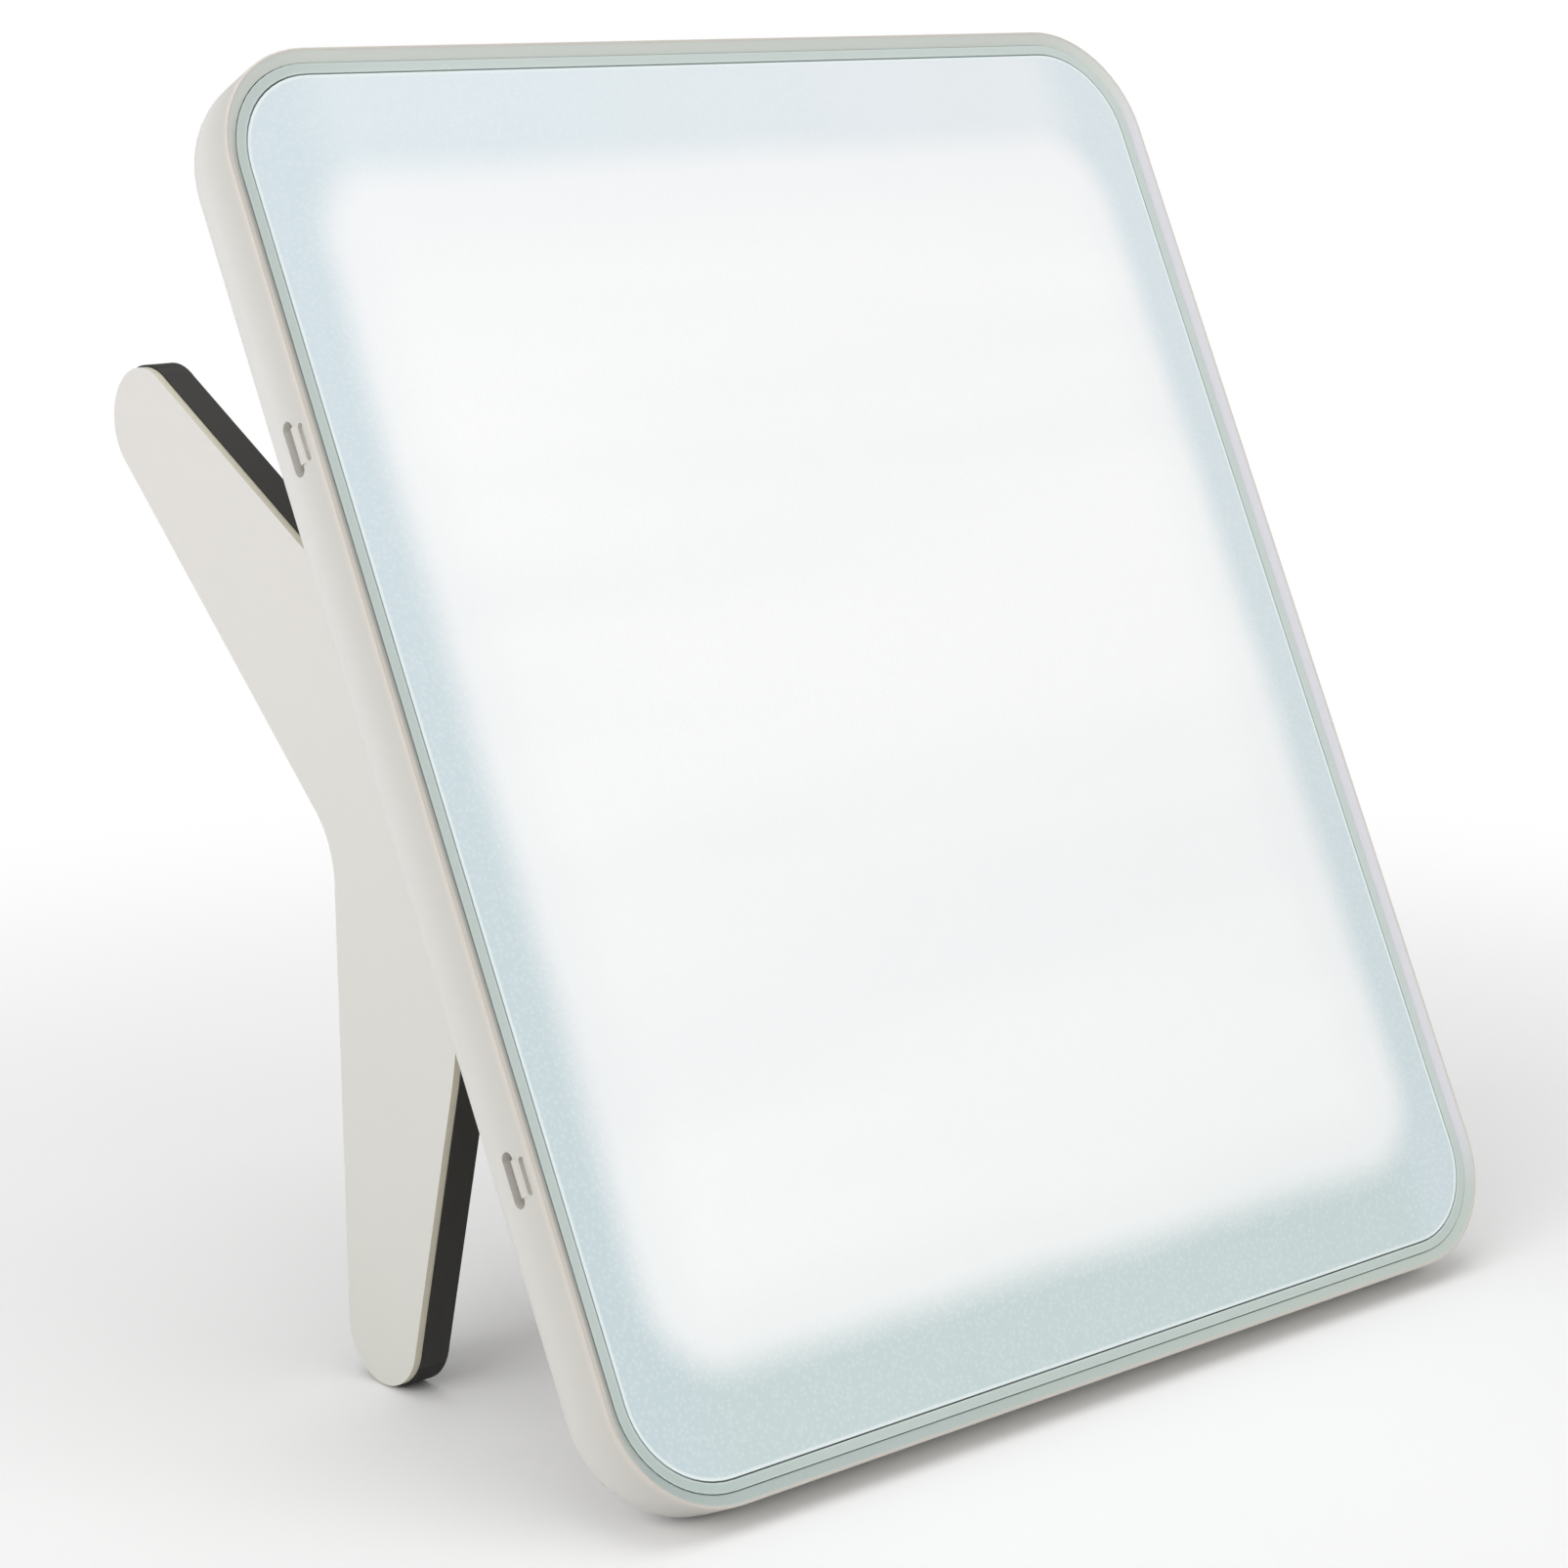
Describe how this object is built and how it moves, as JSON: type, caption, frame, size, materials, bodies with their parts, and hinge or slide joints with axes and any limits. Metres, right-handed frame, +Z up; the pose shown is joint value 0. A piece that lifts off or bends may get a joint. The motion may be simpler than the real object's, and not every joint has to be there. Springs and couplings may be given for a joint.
{
  "type": "light therapy lamp",
  "caption": "Flat portrait light panel that leans back on bent fold-out legs, with a frosted lit face in a pale rim.",
  "frame": {"origin": "middle of the bounding box's footprint, on the surface the lamp stands on", "axes": "+Z up, -Y towards the user (the lit face looks to -Y and upwards), +X to the right of a viewer who faces the lit face"},
  "size_m": [0.2258, 0.1755, 0.2434],
  "materials": {
    "housing": "satin",
    "inner_white": "matte",
    "pale_green_rim": "satin",
    "frosted_face": "frosted",
    "diffuser": "matte",
    "board_metal": "satin",
    "diodes": "gloss",
    "steel": "satin",
    "circuit_board": "satin",
    "components": "satin",
    "connector": "satin",
    "black_plastic": "satin",
    "contact": "polished",
    "button": "satin",
    "hinge_plastic": "matte",
    "washer": "matte",
    "leg_core": "matte",
    "leg_cheek": "satin",
    "foot_rubber": "matte"
  },
  "bodies": {
    "panel": {"rear_housing": "housing", "front_frame": "inner_white", "rim_ring": "pale_green_rim", "face_plate": "frosted_face", "diffuser_sheet": "diffuser", "reflector_tray": "inner_white", "led_board": "board_metal", "leds": "diodes", "led_board_screws": "steel", "driver_board": "circuit_board", "driver_parts": "components", "board_connector": "connector", "driver_board_screws": "steel", "dc_jack": "black_plastic", "dc_jack_pin": "contact", "switch_body": "black_plastic", "left_hinge_bracket": "hinge_plastic", "right_hinge_bracket": "hinge_plastic", "bracket_screws": "steel", "left_hinge_pin": "steel", "right_hinge_pin": "steel", "left_friction_washers": "washer", "right_friction_washers": "washer"},
    "button": {"power_button": "button", "switch_plunger": "black_plastic"},
    "left_leg": {"left_leg_core": "leg_core", "left_leg_cheek": "leg_cheek", "left_leg_feet": "foot_rubber"},
    "right_leg": {"right_leg_core": "leg_core", "right_leg_cheek": "leg_cheek", "right_leg_feet": "foot_rubber"}
  },
  "joints": [
    {"name": "left_leg_fold", "type": "hinge", "parent": "panel", "child": "left_leg", "pos_m": [-0.09245, -0.0108, 0.11481], "axis": [0, -0.4345, -0.9007], "range_deg": [0, 90]},
    {"name": "right_leg_fold", "type": "hinge", "parent": "panel", "child": "right_leg", "pos_m": [0.09245, -0.0108, 0.11481], "axis": [0, 0.4345, 0.9007], "range_deg": [0, 90]},
    {"name": "button_press", "type": "slide", "parent": "panel", "child": "button", "axis": [0, -0.9007, 0.4345], "range_m": [0, 0.0008], "stiffness_N_per_m": 1500, "springref_m": -0.0003}
  ]
}
